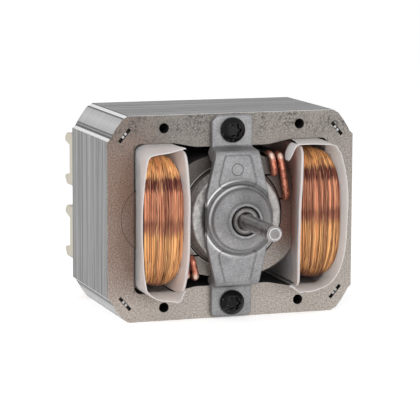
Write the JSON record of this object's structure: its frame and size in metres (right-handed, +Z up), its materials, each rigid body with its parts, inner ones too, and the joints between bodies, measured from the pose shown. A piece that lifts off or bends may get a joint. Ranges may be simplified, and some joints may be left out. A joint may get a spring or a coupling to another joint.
{
  "type": "shaded-pole cooker hood fan motor",
  "caption": "Open-frame shaded-pole motor with a laminated stack, two bobbin coils, cast bearing brackets and a plain output shaft for a fan wheel.",
  "frame": {"origin": "where the shaft axis meets the front face of the lamination stack, which is the centre of the four mounting holes", "axes": "-Y along the output shaft, out of the front of the motor; +Z up, the stack resting on its flat lower face; +X to the right seen from the front, across the two coils"},
  "size_m": [0.084, 0.0975, 0.067],
  "materials": {
    "lamination_steel": "rolled sheet edges, matt, slightly stained",
    "ring_copper": "bare copper wire, bright at the bends",
    "enamelled_copper": "enamelled copper wire with darker varnish bands",
    "white_nylon": "white moulded nylon",
    "insulating_film": "white polyester film",
    "rotor_aluminium": "rough casting",
    "shaft_steel": "ground",
    "bracket_casting": "matt die casting",
    "sintered_bronze": "oiled sintered bronze",
    "oil_felt": "oiled felt",
    "spring_steel": "bright",
    "natural_nylon": "natural nylon",
    "brown_fibre": "laminated fibre",
    "black_screw": "black passivated steel",
    "cream_nylon": "cream moulded nylon",
    "tinned_brass": "tin plated"
  },
  "bodies": {
    "stator": {"yoke_stack": "lamination_steel", "pole_stack": "lamination_steel", "short_ring_right": "ring_copper", "long_ring_right": "ring_copper", "short_ring_left": "ring_copper", "long_ring_left": "ring_copper", "bobbin_left": "white_nylon", "bobbin_right": "white_nylon", "coil_left": "enamelled_copper", "coil_right": "enamelled_copper", "film_left": "insulating_film", "film_right": "insulating_film", "front_bracket": "bracket_casting", "rear_bracket": "bracket_casting", "front_bush": "sintered_bronze", "rear_bush": "sintered_bronze", "front_felt": "oil_felt", "rear_felt": "oil_felt", "front_clip": "spring_steel", "rear_clip": "spring_steel", "bracket_screws": "black_screw", "upper_terminal_housing": "cream_nylon", "lower_terminal_housing": "cream_nylon", "upper_terminals": "tinned_brass", "lower_terminals": "tinned_brass"},
    "rotor": {"rotor_core": "lamination_steel", "rotor_cage": "rotor_aluminium", "shaft": "shaft_steel", "front_spacer": "natural_nylon", "rear_spacer": "natural_nylon", "front_washer": "brown_fibre", "rear_washer": "brown_fibre"}
  },
  "joints": [
    {"name": "rotor_spin", "type": "hinge", "parent": "stator", "child": "rotor", "pos_m": [0, 0, 0], "axis": [0, -1, 0], "continuous": true}
  ]
}
